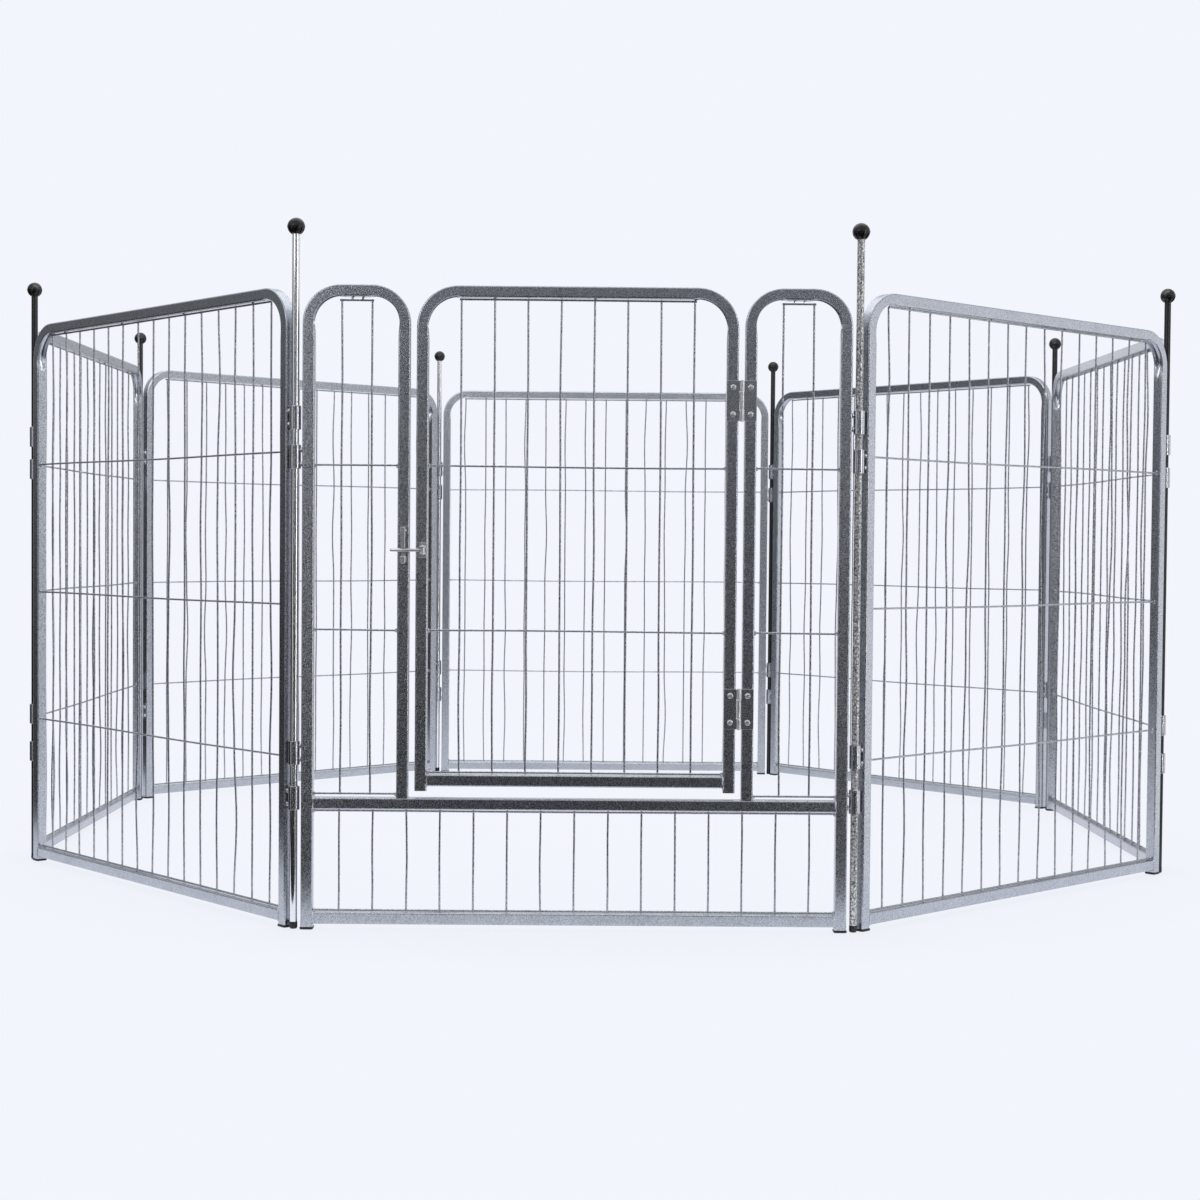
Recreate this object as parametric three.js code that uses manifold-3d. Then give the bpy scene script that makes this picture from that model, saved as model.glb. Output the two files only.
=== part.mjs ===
// Eight-panel metal pet playpen. Each panel is a bent square tube with a welded wire grille,
// neighbouring panels turn on a lift-out rod, and one panel carries a swinging gate with a latch.
// Millimetres, +Z up, floor at z = 0, origin on the floor at the middle of the ring,
// gate panel towards -Y. In a panel's own frame x runs from its left rod to its right rod as
// seen from outside, y points into the pen and y = 0 is the middle plane of the tubes.

import * as THREE from 'three';
import { mergeVertices } from 'three/addons/utils/BufferGeometryUtils.js';
import Module from 'manifold-3d';

const wasm = await Module();
wasm.setup();

// ---------------------------------------------------------------- driving dimensions

// ring
const panelCount = 8;
const ringTurn = 360 / panelCount;      // regular corner angle, degrees
const ringSkew = 3;                     // corners are ringTurn + skew and ringTurn - skew in turn
const rodOffset = 9.5;                  // rod axis to the side face of a post
const meshGap = 0.3;                    // air left between two pieces that meet

// panels
const panelWidth = 690;
const panelHeight = 812;
const tube = 15;                        // square tube, outside
const tubeWall = 1;
const panelBend = 52;                   // outer radius of a panel's and the door's top corners
const bottomRailBase = 7;               // floor to the underside of the bottom rail
const drainHole = 5;                    // vent drilled in the underside of each rail

// wire grilles
const wire = 2.6;
const panelWires = 15;
const panelWireMargin = panelBend - tube - 4.5;   // post to the middle of the first upright wire
const panelRows = 5;
const edgeWireGap = 1.0;                // clear gap between an edge wire and the rail beside it
const archWireGap = 3.2;                // the same below the tops of the narrow arches

// gate panel
const loopWidth = 135;                  // outside width of the narrow arch beside the door
const loopBend = 48;
const loopWires = 2;
const loopWireMargin = loopBend - tube + 0.5;
const midRailBase = 152.5;
const doorGap = 8;                      // between the door and the arch on each side
const doorLift = 9;                     // mid rail to the lower ends of the door's posts
const doorPostTail = 6;                 // door's posts below its bottom rail
const doorWires = 8;
const doorWireMargin = panelBend - tube + 3.5;
const gateRows = 4;

// plastic foot caps
const footFlange = 3;
const footOverhang = 1;                 // flange beyond the tube on each side
const footPlugLength = 12;

// sleeves that hold the rods
const sleeveLength = 30;
const sleeveClearance = 0.15;           // rod to sleeve, at the rod's corners
const sleeveWall = 1.8;
const sleeveLip = { thickness: 3, inset: 3 };
const outerSleeves = { fromFloor: 151, fromTop: 182 };   // lower ends of the right-hand pair
const innerSleeves = { fromFloor: 208, fromTop: 231 };   // lower ends of the left-hand pair

// rods and knobs
const rodDiameter = 9.6;
const rodSides = 10;
const knobDiameter = 22;
const knobRise = { silver: 72, black: 56 };   // panel top to the middle of the knob
const knobSocket = 9;                   // how deep the rod goes into its knob

// door hinges
const hingeLength = 51;
const hingeDrop = 167;                  // panel top to the foot of the upper hinge
const hingeRise = 75;                   // door's bottom rail to the foot of the lower hinge
const leafThickness = 1.5;
const barrelDiameter = 5.5;
const endKnuckle = 13.5;                // length of the door leaf's two knuckles
const hingePin = 2.4;
const leafInset = 0.5;                  // leaf short of the tube's far edge
const screwHead = { diameter: 6, height: 1.3, inset: 9 };

// latch
const latchHeight = 480;
const armDiameter = 4.2;
const armReach = 24;                    // arm beyond the middle of the gate post it crosses
const armStandoff = 5;                  // arm axis in front of the tube faces
const armPinShift = 1.3;                // arm's pin to the middle of the door's post
const keeper = { width: 5.6, length: 46, below: 17, depth: 7.4, notch: 10.4, notchBelow: 7.6 };
const bracket = { width: 9, height: 19, plate: 0.9, lug: 2, lugDepth: 8, pin: 2.6 };
const eye = { across: 6.2, height: 5.2 };
const latchClearance = 0.3;

// ---------------------------------------------------------------- derived places

const rodPitch = panelWidth + 2 * rodOffset;
const half = tube / 2;
const postBase = footFlange + meshGap;
const bottomRailTop = bottomRailBase + tube;
const midRailTop = midRailBase + tube;
const topRailBase = panelHeight - tube;
const panelLeft = rodOffset;
const panelRight = rodOffset + panelWidth;
const doorLeft = panelLeft + loopWidth + doorGap;
const doorRight = panelRight - loopWidth - doorGap;
const doorPostBase = midRailTop + doorLift;
const doorRailBase = doorPostBase + doorPostTail;
const edgeWire = edgeWireGap + wire / 2;
const archWire = archWireGap + wire / 2;
const hingeBases = { lower: doorRailBase + hingeRise, upper: panelHeight - hingeDrop };
const hingeAxis = { x: doorRight + doorGap / 2, y: -half - meshGap - leafThickness };
const latchPost = panelLeft + loopWidth - half;
const latchPin = { x: doorLeft + half + armPinShift, y: -half - armStandoff };
const rodCorner = rodDiameter / 2 / Math.cos(Math.PI / rodSides);
const sleeveBoreAcross = 2 * (rodCorner + sleeveClearance);
const knobCentre = (finish) => panelHeight + knobRise[finish];
const rodTop = (finish) => knobCentre(finish) - knobDiameter / 2 + knobSocket;

// ---------------------------------------------------------------- solid helpers

function solid(geometry) {
  geometry.deleteAttribute('normal');
  geometry.deleteAttribute('uv');
  const merged = mergeVertices(geometry, 1e-4);
  return new wasm.Manifold(new wasm.Mesh({
    numProp: 3,
    vertProperties: Float32Array.from(merged.attributes.position.array),
    triVerts: Uint32Array.from(merged.index.array),
  }));
}

const join = (bodies) => bodies.reduce((sum, body) => sum.add(body));

const cut = (body, tools) => tools.reduce((rest, tool) => rest.subtract(tool), body);

function geometryOf(body) {
  const { vertProperties, triVerts } = body.asOriginal().simplify(0.001).getMesh();
  const geometry = new THREE.BufferGeometry();
  geometry.setAttribute('position', new THREE.BufferAttribute(vertProperties, 3));
  geometry.setIndex(new THREE.BufferAttribute(triVerts, 1));
  geometry.computeVertexNormals();
  return geometry;
}

// block between two corners
function block(x0, x1, y0, y1, z0, z1) {
  const geometry = new THREE.BoxGeometry(x1 - x0, y1 - y0, z1 - z0);
  return solid(geometry.translate((x0 + x1) / 2, (y0 + y1) / 2, (z0 + z1) / 2));
}

// upright prism with a flat towards x and y, measured across its flats
function prism(across, x, y, z0, z1, sides = 8) {
  const radius = across / 2 / Math.cos(Math.PI / sides);
  const geometry = new THREE.CylinderGeometry(radius, radius, z1 - z0, sides);
  geometry.rotateX(Math.PI / 2).rotateZ(Math.PI / sides);
  return solid(geometry.translate(x, y, (z0 + z1) / 2));
}

// flat outline in the panel's plane, given a thickness about y = 0
function slab(shape, thickness) {
  const geometry = new THREE.ExtrudeGeometry(shape, {
    depth: thickness, bevelEnabled: false, curveSegments: 3,
  });
  return solid(geometry.translate(0, 0, -thickness / 2).rotateX(Math.PI / 2));
}

// ---------------------------------------------------------------- tube frames

// inverted U of square tube; inset > 0 gives the bore, a wall thickness inside the outside
function archShape(arch, inset, leftFoot, rightFoot) {
  const outer = arch.bend - inset;
  const inner = arch.bend - tube + inset;
  const leftTurn = arch.left + arch.bend;
  const rightTurn = arch.right - arch.bend;
  const turnHeight = panelHeight - arch.bend;
  const shape = new THREE.Shape();
  shape.moveTo(arch.left + inset, leftFoot);
  shape.lineTo(arch.left + inset, turnHeight);
  shape.absarc(leftTurn, turnHeight, outer, Math.PI, Math.PI / 2, true);
  shape.absarc(rightTurn, turnHeight, outer, Math.PI / 2, 0, true);
  shape.lineTo(arch.right - inset, rightFoot);
  shape.lineTo(arch.right - tube + inset, rightFoot);
  shape.absarc(rightTurn, turnHeight, inner, 0, Math.PI / 2, false);
  shape.absarc(leftTurn, turnHeight, inner, Math.PI / 2, Math.PI, false);
  shape.lineTo(arch.left + tube - inset, leftFoot);
  shape.closePath();
  return shape;
}

// arch with open or blind feet: an open foot's bore runs out through its end
function archParts(arch) {
  const boreFoot = (foot, open) => (open ? foot - tubeWall : foot + tubeWall);
  const leftBore = boreFoot(arch.leftFoot, arch.leftOpen);
  const rightBore = boreFoot(arch.rightFoot, arch.rightOpen);
  return {
    outside: slab(archShape(arch, 0, arch.leftFoot, arch.rightFoot), tube),
    bore: slab(archShape(arch, tubeWall, leftBore, rightBore), tube - 2 * tubeWall),
  };
}

// level rail butt-welded between two posts, with a vent hole in its underside
function railParts(left, right, base) {
  const root = tubeWall / 2;
  const inside = half - tubeWall;
  const middle = (left + right) / 2;
  const vent = prism(drainHole, middle, 0, base - tubeWall, base + 2 * tubeWall);
  const hollow = block(left, right, -inside, inside, base + tubeWall, base + tube - tubeWall);
  return {
    outside: block(left - root, right + root, -half, half, base, base + tube),
    bore: hollow.add(vent),
  };
}

function frameOf(parts, extras = []) {
  const outside = join([...parts.map((part) => part.outside), ...extras.map((one) => one.body)]);
  return cut(outside, [...parts.map((part) => part.bore), ...extras.map((one) => one.bore)]);
}

// curled sleeve on the rod axis with the lip that is welded to the post
function sleeve(rodX, towardsPost, base) {
  const outsideAcross = sleeveBoreAcross + 2 * sleeveWall;
  const lipStart = rodX + towardsPost * (outsideAcross / 2 - sleeveWall / 2);
  const lipEnd = rodX + towardsPost * (rodOffset + tubeWall / 2);
  const lip = block(Math.min(lipStart, lipEnd), Math.max(lipStart, lipEnd),
    -sleeveLip.thickness / 2, sleeveLip.thickness / 2,
    base + sleeveLip.inset, base + sleeveLength - sleeveLip.inset);
  return {
    body: prism(outsideAcross, rodX, 0, base, base + sleeveLength).add(lip),
    bore: prism(sleeveBoreAcross, rodX, 0, base - 1, base + sleeveLength + 1),
  };
}

function panelSleeves() {
  const bases = ({ fromFloor, fromTop }) => [fromFloor, panelHeight - fromTop];
  return [
    ...bases(innerSleeves).map((base) => sleeve(0, 1, base)),
    ...bases(outerSleeves).map((base) => sleeve(rodPitch, -1, base)),
  ];
}

// ---------------------------------------------------------------- wire grilles

// uprights and level wires welded into one flat grille; rows are [height, from, to]
function grille(uprights, base, top, rows) {
  const r = wire / 2;
  return join([
    ...uprights.map((x) => block(x - r, x + r, -r, r, base - r, top + r)),
    ...rows.map(([z, from, to]) => block(from, to, -r, r, z - r, z + r)),
  ]);
}

const spread = (count, from, to) =>
  Array.from({ length: count }, (_, i) => from + (i * (to - from)) / (count - 1));

// grille between two posts, from the lowest to the highest of the level wires' heights;
// the top wire, under the top rail, stops short of the bends
function archGrille(left, right, heights, count, margin) {
  const top = heights.at(-1);
  const uprights = spread(count, left + margin, right - margin);
  const rows = heights.map((z) => [z, left + meshGap, right - meshGap]);
  rows[rows.length - 1] = [top, uprights[0] - wire / 2, uprights[count - 1] + wire / 2];
  return grille(uprights, heights[0], top, rows);
}

// ---------------------------------------------------------------- plain panel pieces

function plainFrame() {
  const arch = {
    left: panelLeft, right: panelRight, bend: panelBend,
    leftFoot: postBase, rightFoot: postBase, leftOpen: true, rightOpen: true,
  };
  const rail = railParts(panelLeft + tube, panelRight - tube, bottomRailBase);
  return frameOf([archParts(arch), rail], panelSleeves());
}

function plainGrille() {
  const heights = spread(panelRows, bottomRailTop + edgeWire, topRailBase - edgeWire);
  return archGrille(panelLeft + tube, panelRight - tube, heights, panelWires, panelWireMargin);
}

// foot cap under the post whose left face is at x
function foot(x) {
  const inset = tubeWall + meshGap;
  const reach = half + footOverhang;
  const flange = block(x - footOverhang, x + tube + footOverhang, -reach, reach, 0, footFlange);
  const plug = block(x + inset, x + tube - inset, -half + inset, half - inset,
    footFlange / 2, footFlange + footPlugLength);
  return flange.add(plug);
}

// ---------------------------------------------------------------- gate panel pieces

function gateFrame() {
  const leftArch = {
    left: panelLeft, right: panelLeft + loopWidth, bend: loopBend,
    leftFoot: postBase, rightFoot: midRailTop - tubeWall / 2, leftOpen: true, rightOpen: false,
  };
  const rightArch = {
    left: panelRight - loopWidth, right: panelRight, bend: loopBend,
    leftFoot: midRailTop - tubeWall / 2, rightFoot: postBase, leftOpen: false, rightOpen: true,
  };
  const railLeft = panelLeft + tube;
  const railRight = panelRight - tube;
  return frameOf([
    archParts(leftArch),
    archParts(rightArch),
    railParts(railLeft, railRight, midRailBase),
    railParts(railLeft, railRight, bottomRailBase),
  ], panelSleeves());
}

// level wires of the two narrow arches; the door's upper ones are in line with them
const gateHeights = spread(gateRows, midRailTop + archWire, topRailBase - archWire);

function loopGrille(archLeft) {
  return archGrille(archLeft + tube, archLeft + loopWidth - tube, gateHeights,
    loopWires, loopWireMargin);
}

function lowerGrille() {
  const left = panelLeft + tube;
  const right = panelRight - tube;
  const base = bottomRailTop + edgeWire;
  const top = midRailBase - edgeWire;
  const rows = [base, top].map((z) => [z, left + meshGap, right - meshGap]);
  const uprights = spread(panelWires, left + panelWireMargin, right - panelWireMargin);
  return grille(uprights, base, top, rows);
}

function doorFrame() {
  const arch = {
    left: doorLeft, right: doorRight, bend: panelBend,
    leftFoot: doorPostBase, rightFoot: doorPostBase, leftOpen: true, rightOpen: true,
  };
  return frameOf([archParts(arch), railParts(doorLeft + tube, doorRight - tube, doorRailBase)]);
}

function doorGrille() {
  const heights = [doorRailBase + tube + edgeWire, ...gateHeights.slice(1, -1),
    topRailBase - edgeWire];
  return archGrille(doorLeft + tube, doorRight - tube, heights, doorWires, doorWireMargin);
}

// ---------------------------------------------------------------- door hinges

// screw heads near the two ends of a leaf
function screwHeads(x, base) {
  const face = hingeAxis.y;
  return [screwHead.inset, hingeLength - screwHead.inset].map((offset) => {
    const depth = screwHead.height + leafThickness / 2;
    const geometry = new THREE.CylinderGeometry(
      screwHead.diameter / 2, screwHead.diameter / 2, depth, 6);
    return solid(geometry.translate(x, face + leafThickness / 2 - depth / 2, base + offset));
  });
}

// leaf on one side of the barrel, with knuckles at the given stretches of its length;
// side is +1 for the post leaf and -1 for the door leaf
function hingeLeaf(side, base, stretches) {
  const face = hingeAxis.y;
  const near = hingeAxis.x + side * (barrelDiameter / 2 + meshGap);
  const far = hingeAxis.x + side * (doorGap / 2 + tube - leafInset);
  const root = hingeAxis.x + side * (hingePin + barrelDiameter) / 4;
  const span = (from, to, z0, z1) =>
    block(Math.min(from, to), Math.max(from, to), face, face + leafThickness, z0, z1);
  const pieces = [span(near, far, base, base + hingeLength)];
  for (const [z0, z1] of stretches) {
    pieces.push(prism(barrelDiameter, hingeAxis.x, hingeAxis.y, base + z0, base + z1));
    pieces.push(span(root, near + side, base + z0, base + z1));
  }
  const screwX = hingeAxis.x + side * (doorGap / 2 + half);
  return join([...pieces, ...screwHeads(screwX, base)]);
}

function postLeaf(base) {
  const middle = [endKnuckle + meshGap, hingeLength - endKnuckle - meshGap];
  const leaf = hingeLeaf(1, base, [middle]);
  const bore = prism(hingePin + 2 * meshGap, hingeAxis.x, hingeAxis.y, base, base + hingeLength);
  return leaf.subtract(bore);
}

function doorLeaf(base) {
  const leaf = hingeLeaf(-1, base, [[0, endKnuckle], [hingeLength - endKnuckle, hingeLength]]);
  const pin = prism(hingePin, hingeAxis.x, hingeAxis.y, base + 1, base + hingeLength - 1);
  return leaf.add(pin);
}

// ---------------------------------------------------------------- latch

// upright bar on the gate post with a notch open to the front and to both sides
function latchKeeper() {
  const back = -half - meshGap;
  const front = back - keeper.depth;
  const base = latchHeight - keeper.below;
  const bar = block(latchPost - keeper.width / 2, latchPost + keeper.width / 2, front, back,
    base, base + keeper.length);
  const notchBack = latchPin.y + armDiameter / 2 + latchClearance;
  const notchBase = latchHeight - keeper.notchBelow;
  const notch = block(latchPost - keeper.width, latchPost + keeper.width, front - 1, notchBack,
    notchBase, notchBase + keeper.notch);
  return bar.subtract(notch);
}

// plate with two lugs and the arm's upright pin, welded to the door's post
function latchBracket() {
  const back = -half - meshGap;
  const gap = eye.height + 2 * latchClearance;
  const left = latchPin.x - bracket.width / 2;
  const right = latchPin.x + bracket.width / 2;
  const lug = (z) => block(left, right, back - bracket.lugDepth, back - bracket.plate / 2,
    z, z + bracket.lug);
  const base = latchHeight - bracket.height / 2;
  return join([
    block(left, right, back - bracket.plate, back, base, base + bracket.height),
    lug(latchHeight + gap / 2),
    lug(latchHeight - gap / 2 - bracket.lug),
    prism(bracket.pin, latchPin.x, latchPin.y, latchHeight - gap / 2 - 1, latchHeight + gap / 2 + 1),
  ]);
}

// round bar with an eye that turns on the bracket's pin
function latchArm() {
  const end = latchPost - armReach + half;
  const length = latchPin.x - end;
  const radius = armDiameter / 2;
  const bar = new THREE.CylinderGeometry(radius, radius, length, 8);
  bar.rotateZ(Math.PI / 2).translate(end + length / 2, latchPin.y, latchHeight);
  const base = latchHeight - eye.height / 2;
  const ring = prism(eye.across, latchPin.x, latchPin.y, base, base + eye.height);
  const bore = prism(bracket.pin + 2 * latchClearance, latchPin.x, latchPin.y,
    base - 1, base + eye.height + 1);
  return solid(bar).add(ring).subtract(bore);
}

// ---------------------------------------------------------------- rods

// silver rods are a little longer than black ones
const rod = (finish) => prism(rodDiameter, 0, 0, 0, rodTop(finish), rodSides);

// ball with a blind socket for the end of the rod
function knob(finish) {
  const sides = 10;
  const radius = knobDiameter / 2;
  const socket = (rodCorner + meshGap) / Math.cos(Math.PI / sides);
  const roof = rodTop(finish) + meshGap;
  const mouth = Math.asin(socket / radius);
  const rings = 6;
  const profile = [new THREE.Vector2(0, roof), new THREE.Vector2(socket, roof)];
  for (let i = 0; i <= rings; i += 1) {
    const angle = mouth + ((Math.PI - mouth) * i) / rings;
    const across = i === rings ? 0 : radius * Math.sin(angle);
    profile.push(new THREE.Vector2(across, knobCentre(finish) - radius * Math.cos(angle)));
  }
  const geometry = new THREE.LatheGeometry(profile, sides);
  return solid(geometry.rotateX(Math.PI / 2));
}

// ---------------------------------------------------------------- materials

const paint = new THREE.MeshStandardMaterial({ color: 0x5d6168, roughness: 0.5, metalness: 0.7 });
const wirePaint = new THREE.MeshStandardMaterial({ color: 0x6e7178, roughness: 0.45, metalness: 0.7 });
const rodPaint = {
  silver: new THREE.MeshStandardMaterial({ color: 0xb4b7bb, roughness: 0.25, metalness: 0.9 }),
  black: new THREE.MeshStandardMaterial({ color: 0x222326, roughness: 0.4, metalness: 0.2 }),
};
const zinc = new THREE.MeshStandardMaterial({ color: 0xb9bbbd, roughness: 0.35, metalness: 1 });
const blackPlastic = new THREE.MeshStandardMaterial({ color: 0x1a1a1c, roughness: 0.45, metalness: 0 });

// ---------------------------------------------------------------- assembly

const playpen = new THREE.Group();

function addMesh(group, name, body, material) {
  const mesh = new THREE.Mesh(geometryOf(body), material);
  mesh.name = name;
  group.add(mesh);
}

// corners of the ring, walking anticlockwise from the gate panel's left rod
function ringCorners() {
  const corners = [];
  const place = new THREE.Vector2(0, 0);
  let heading = 0;
  for (let i = 0; i < panelCount; i += 1) {
    corners.push({ place: place.clone(), heading });
    place.add(new THREE.Vector2(Math.cos(heading), Math.sin(heading)).multiplyScalar(rodPitch));
    const skew = i % 2 === 0 ? -ringSkew : ringSkew;
    heading += THREE.MathUtils.degToRad(ringTurn + skew);
  }
  const middle = corners.reduce((sum, one) => sum.add(one.place), new THREE.Vector2());
  middle.divideScalar(panelCount);
  corners.forEach((one) => one.place.sub(middle));
  return corners;
}

function addGatePanel(group) {
  addMesh(group, 'gate_frame', gateFrame(), paint);
  addMesh(group, 'gate_grille_left', loopGrille(panelLeft), wirePaint);
  addMesh(group, 'gate_grille_right', loopGrille(panelRight - loopWidth), wirePaint);
  addMesh(group, 'gate_grille_lower', lowerGrille(), wirePaint);
  addMesh(group, 'gate_foot_left', foot(panelLeft), blackPlastic);
  addMesh(group, 'gate_foot_right', foot(panelRight - tube), blackPlastic);
  addMesh(group, 'door_frame', doorFrame(), paint);
  addMesh(group, 'door_grille', doorGrille(), wirePaint);
  for (const [level, base] of Object.entries(hingeBases)) {
    addMesh(group, `hinge_${level}_post_leaf`, postLeaf(base), zinc);
    addMesh(group, `hinge_${level}_door_leaf`, doorLeaf(base), zinc);
  }
  addMesh(group, 'latch_keeper', latchKeeper(), zinc);
  addMesh(group, 'latch_bracket', latchBracket(), zinc);
  addMesh(group, 'latch_arm', latchArm(), zinc);
}

function addPlainPanel(group, name) {
  addMesh(group, `${name}_frame`, plainFrame(), paint);
  addMesh(group, `${name}_grille`, plainGrille(), wirePaint);
  addMesh(group, `${name}_foot_left`, foot(panelLeft), blackPlastic);
  addMesh(group, `${name}_foot_right`, foot(panelRight - tube), blackPlastic);
}

const panelNames = ['gate', 'panel_front_right', 'panel_right', 'panel_back_right',
  'panel_back', 'panel_back_left', 'panel_left', 'panel_front_left'];
const cornerNames = ['front_left', 'front_right', 'right_front', 'right_back',
  'back_right', 'back_left', 'left_back', 'left_front'];
const silverRods = ['front_left', 'front_right', 'back_left'];

ringCorners().forEach(({ place, heading }, i) => {
  const group = new THREE.Group();
  group.position.set(place.x, place.y, 0);
  group.rotation.z = heading;
  if (i === 0) {
    addGatePanel(group);
  } else {
    addPlainPanel(group, panelNames[i]);
  }
  const finish = silverRods.includes(cornerNames[i]) ? 'silver' : 'black';
  addMesh(group, `rod_${cornerNames[i]}`, rod(finish), rodPaint[finish]);
  addMesh(group, `knob_${cornerNames[i]}`, knob(finish), blackPlastic);
  playpen.add(group);
});

export default playpen;
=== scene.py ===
"""Looks of an eight-panel metal pet playpen with a walk-through gate.

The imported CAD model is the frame: this script finds each panel's place from its rods and each
part's place from its CAD node, and builds the visible pieces around them. A panel is built in
its own millimetres: x from its left rod to its right rod as seen from outside, y into the pen
with y = 0 at the middle of the tubes, and z up from the floor.
"""

import math
import random

import bmesh
import bpy
from mathutils import Matrix, Vector


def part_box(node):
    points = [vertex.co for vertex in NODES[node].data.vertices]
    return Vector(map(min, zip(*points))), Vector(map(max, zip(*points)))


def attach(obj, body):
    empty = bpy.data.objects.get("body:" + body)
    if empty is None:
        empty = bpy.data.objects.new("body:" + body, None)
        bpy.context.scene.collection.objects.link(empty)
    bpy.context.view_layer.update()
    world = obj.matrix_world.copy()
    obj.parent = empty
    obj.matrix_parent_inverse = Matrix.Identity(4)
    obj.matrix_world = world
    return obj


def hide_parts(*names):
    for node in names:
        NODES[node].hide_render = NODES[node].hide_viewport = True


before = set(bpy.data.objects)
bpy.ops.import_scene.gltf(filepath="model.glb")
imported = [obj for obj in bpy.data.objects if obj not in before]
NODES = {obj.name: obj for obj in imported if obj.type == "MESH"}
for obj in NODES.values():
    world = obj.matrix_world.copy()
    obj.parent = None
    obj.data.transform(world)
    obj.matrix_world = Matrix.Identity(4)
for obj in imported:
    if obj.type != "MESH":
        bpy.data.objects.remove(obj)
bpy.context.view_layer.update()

MM = 0.001

# ---------------------------------------------------------------- sizes, millimetres

TUBE = 15.0
HALF = TUBE / 2
TUBE_CORNER = 1.9           # outside radius of the tube's edges
CORNER_STEPS = 5            # points round each of them
FLAT_EDGE = 0.3             # from a face's rounded edge to the row that keeps the face flat
DENT_ROWS = (4.4, 3.4, 2.4, 1.2, 0, -1.2, -2.4, -3.4, -4.4)     # y of the rows a dent bends
WIRE = 2.6
ROD = 9.6
ROD_OFFSET = 9.5            # rod axis to the side face of a post
SLEEVE = {"outside": 14.6, "wall": 1.8, "height": 30.0, "slit": 1.2, "edge": 0.4}
SLEEVE_WELD = {"out": 8.3, "side": 4.3, "inset": 6.5}       # from the rod and the sleeve's ends
PANEL = {"bend": 52.0, "wires": 15, "margin": 32.5, "rows": 5}
LOOP = {"width": 135.0, "bend": 48.0, "wires": 2, "margin": 33.5}
DOOR = {"bend": 52.0, "wires": 8, "margin": 40.5}
GATE_ROWS = 4
EDGE_WIRE = 2.3             # rail to the middle of the edge wire beside it
BOTTOM_RAIL = 7.0           # floor to its underside
MID_RAIL = 152.5
FOOT_FLANGE = 3.0
SLEEVE_BASES = {"left": (208.0, 581.0), "right": (151.0, 630.0)}

# how far the inner face of a bend is pressed in, and how far the dent runs past the bend
PRESS = {"narrow": 1.2, "dent": 5.2, "half_width": 5.8, "leg": 17.0, "rail": 7.0}

LEVEL_WIRE_Y = -1.2         # level wires lie on the outside of the uprights
UPRIGHT_Y = 1.2

# how far the upright wires of each panel sway sideways, standard deviation
SWAY = {"gate": 0.5, "panel_front_right": 1.9, "panel_front_left": 1.7, "panel_right": 2.2,
        "panel_left": 2.0, "panel_back": 1.2, "panel_back_left": 1.4, "panel_back_right": 1.4}

PANELS = ["gate", "panel_front_right", "panel_right", "panel_back_right", "panel_back",
          "panel_back_left", "panel_left", "panel_front_left"]
CORNERS = ["front_left", "front_right", "right_front", "right_back", "back_right",
           "back_left", "left_back", "left_front"]


# ---------------------------------------------------------------- places from the CAD model

def corner_place(corner):
    low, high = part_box(f"rod_{corner}")
    return Vector(((low.x + high.x) / 2, (low.y + high.y) / 2, 0))


def panel_place(index):
    """Matrix from a panel's own millimetres to the model's metres."""
    start = corner_place(CORNERS[index])
    along = (corner_place(CORNERS[(index + 1) % len(CORNERS)]) - start).normalized()
    heading = math.atan2(along.y, along.x)
    return (Matrix.Translation(start) @ Matrix.Rotation(heading, 4, "Z")
            @ Matrix.Scale(MM, 4))


def local_box(node, place):
    """A CAD node's lowest and highest corners in its panel's own millimetres."""
    inverse = place.inverted()
    points = [inverse @ vertex.co for vertex in NODES[node].data.vertices]
    return Vector(map(min, zip(*points))), Vector(map(max, zip(*points)))


# ---------------------------------------------------------------- closed shells

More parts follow.
